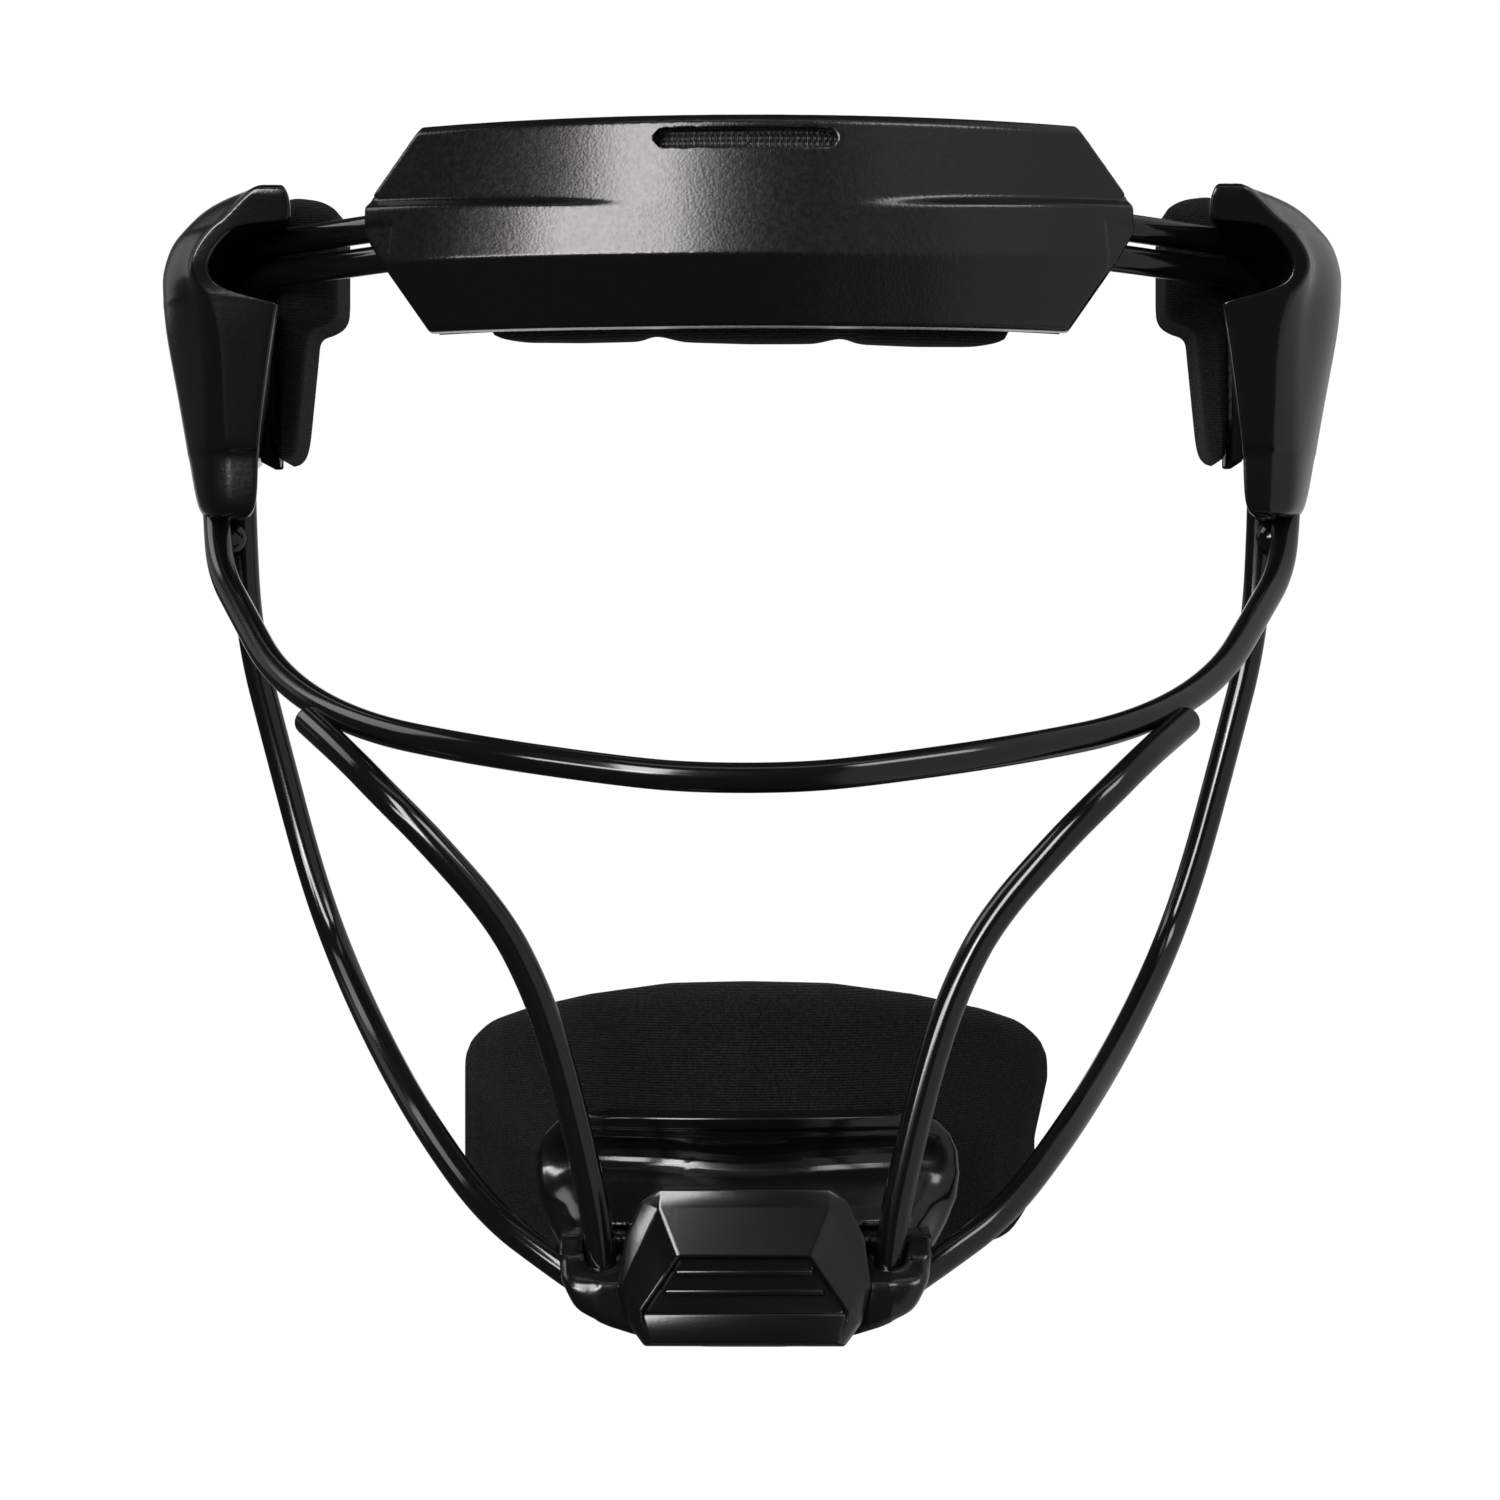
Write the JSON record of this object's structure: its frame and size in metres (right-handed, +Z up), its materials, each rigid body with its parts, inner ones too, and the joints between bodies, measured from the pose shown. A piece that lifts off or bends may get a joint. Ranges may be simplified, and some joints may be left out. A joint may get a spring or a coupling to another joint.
{
  "type": "softball face guard",
  "caption": "Open wire face guard for softball fielders, with a faceted brow shell, temple shells, padded chin cup on a latch, and foam pads.",
  "frame": {"origin": "on the upright axis of the wearer's head, in the plane where the guard ends behind, level with the lowest point of the eye bar", "axes": "+X to the wearer's left, +Y from the face back into the head, +Z up"},
  "size_m": [0.208, 0.1386, 0.1978],
  "materials": {
    "coated_wire": "glossy black coating",
    "shell": "matt with a fine grain",
    "chin_shell": "satin",
    "chin_gloss": "glossy",
    "inner_plate": "matt",
    "mesh": "woven, matt",
    "pad": "fine knit over foam",
    "hook_tape": "hook tape",
    "screws": "black zinc",
    "pin": "bright"
  },
  "bodies": {
    "guard": {"forehead_wire_upper": "coated_wire", "forehead_wire_lower": "coated_wire", "eye_bar": "coated_wire", "jaw_wire": "coated_wire", "front_wire_left": "coated_wire", "front_wire_right": "coated_wire", "weld_beads": "coated_wire", "forehead_shell": "shell", "vent_mesh": "mesh", "forehead_backing": "inner_plate", "forehead_screws": "screws", "forehead_hook_tape": "hook_tape", "forehead_pad": "pad", "temple_shell_left": "shell", "temple_shell_right": "shell", "temple_inner_left": "inner_plate", "temple_inner_right": "inner_plate", "temple_screws_left": "screws", "temple_screws_right": "screws", "temple_hook_tape_left": "hook_tape", "temple_hook_tape_right": "hook_tape", "temple_pad_left": "pad", "temple_pad_right": "pad", "chin_bracket": "chin_shell", "chin_clamp": "chin_shell", "chin_clamp_screws": "screws", "latch_pin": "pin", "latch_spring": "pin"},
    "chin_cup": {"chin_cup": "chin_gloss", "chin_hook_tape": "hook_tape", "chin_pad": "pad"},
    "chin_latch": {"chin_latch": "chin_gloss"}
  },
  "joints": [
    {"name": "chin_cup_slide", "type": "slide", "parent": "guard", "child": "chin_cup", "axis": [0, 1, 0], "range_m": [0, 0.01]},
    {"name": "chin_latch_rock", "type": "hinge", "parent": "guard", "child": "chin_latch", "pos_m": [0, -0.1288, -0.0794], "axis": [1, 0, 0], "range_deg": [0, 8], "stiffness_Nm_per_rad": 0.15, "springref_deg": -8.59, "deforming": ["latch_spring"]}
  ]
}
